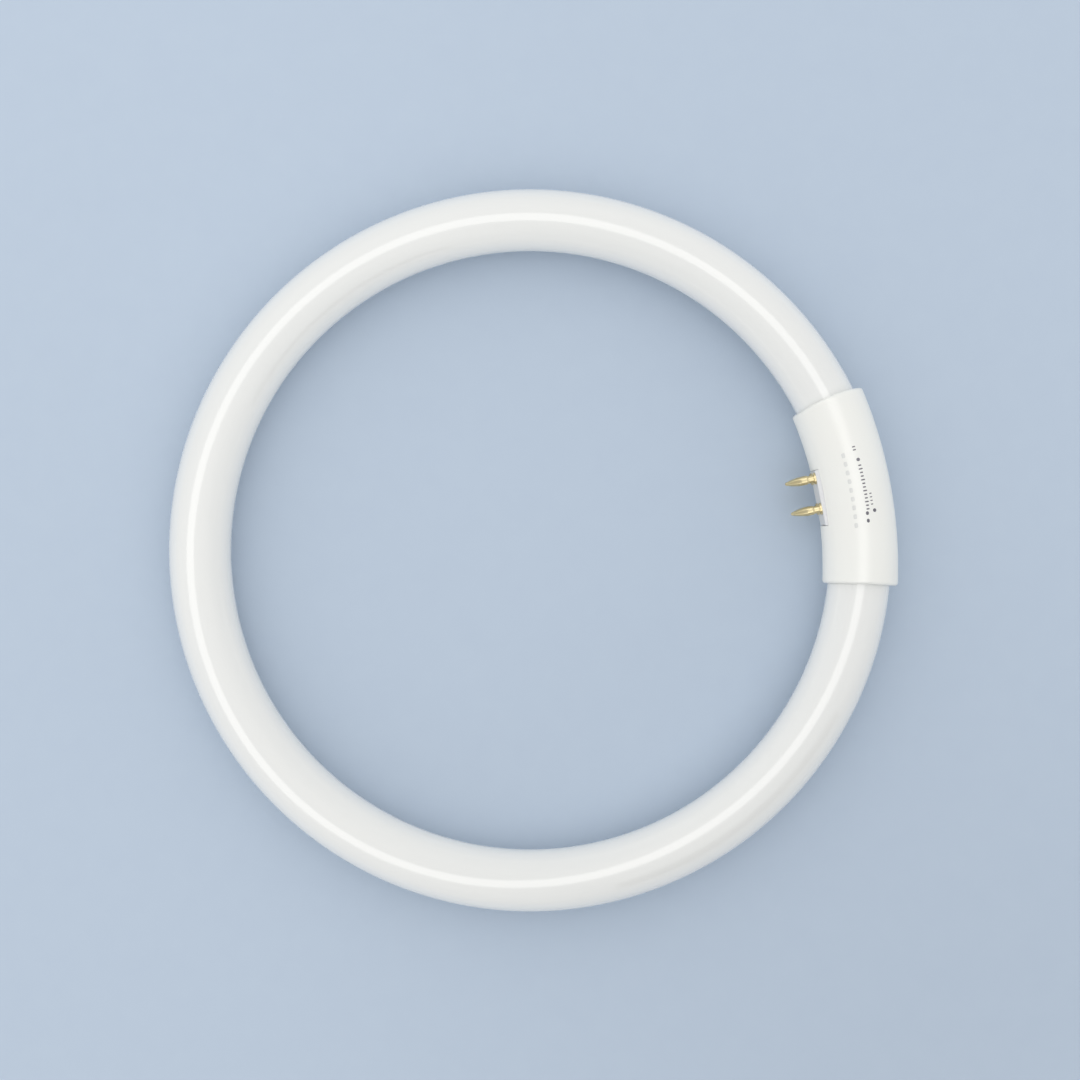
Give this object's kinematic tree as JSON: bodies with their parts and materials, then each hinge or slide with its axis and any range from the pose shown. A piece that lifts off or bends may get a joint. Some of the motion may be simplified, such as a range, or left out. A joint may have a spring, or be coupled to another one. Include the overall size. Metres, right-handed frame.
{
  "type": "circular fluorescent tube",
  "caption": "Ring-shaped fluorescent lamp: a white glass tube bent to a circle, its ends closed in a white moulded collar whose brass contact pins point to the centre.",
  "frame": {"origin": "centre of the ring, in the middle plane of the tube", "axes": "+Z along the ring's axis, towards its front; +X from the ring's centre through the middle of the four contact pins, which point along -X; +Y completes a right-handed frame"},
  "size_m": [0.1883, 0.187, 0.0194],
  "materials": {
    "glass": "glossy clear glass over a white coating, opaque",
    "collar_plastic": "satin white moulded plastic",
    "block_plastic": "matt pale grey moulded plastic",
    "pin_brass": "bright drawn brass",
    "tinned_wire": "tinned wire",
    "fibre_sleeve": "woven glass-fibre sleeving",
    "silicone": "cured silicone adhesive"
  },
  "bodies": {
    "root": {"glass_tube": "glass", "front_shell": "collar_plastic", "rear_shell": "collar_plastic", "pin_block": "block_plastic", "contact_pin_1": "pin_brass", "contact_pin_2": "pin_brass", "contact_pin_3": "pin_brass", "contact_pin_4": "pin_brass", "lead_wire_1": "tinned_wire", "lead_wire_2": "tinned_wire", "lead_wire_3": "tinned_wire", "lead_wire_4": "tinned_wire", "lead_sleeve_1": "fibre_sleeve", "lead_sleeve_2": "fibre_sleeve", "lead_sleeve_3": "fibre_sleeve", "lead_sleeve_4": "fibre_sleeve", "adhesive_ring_1": "silicone", "adhesive_ring_2": "silicone"}
  },
  "joints": []
}
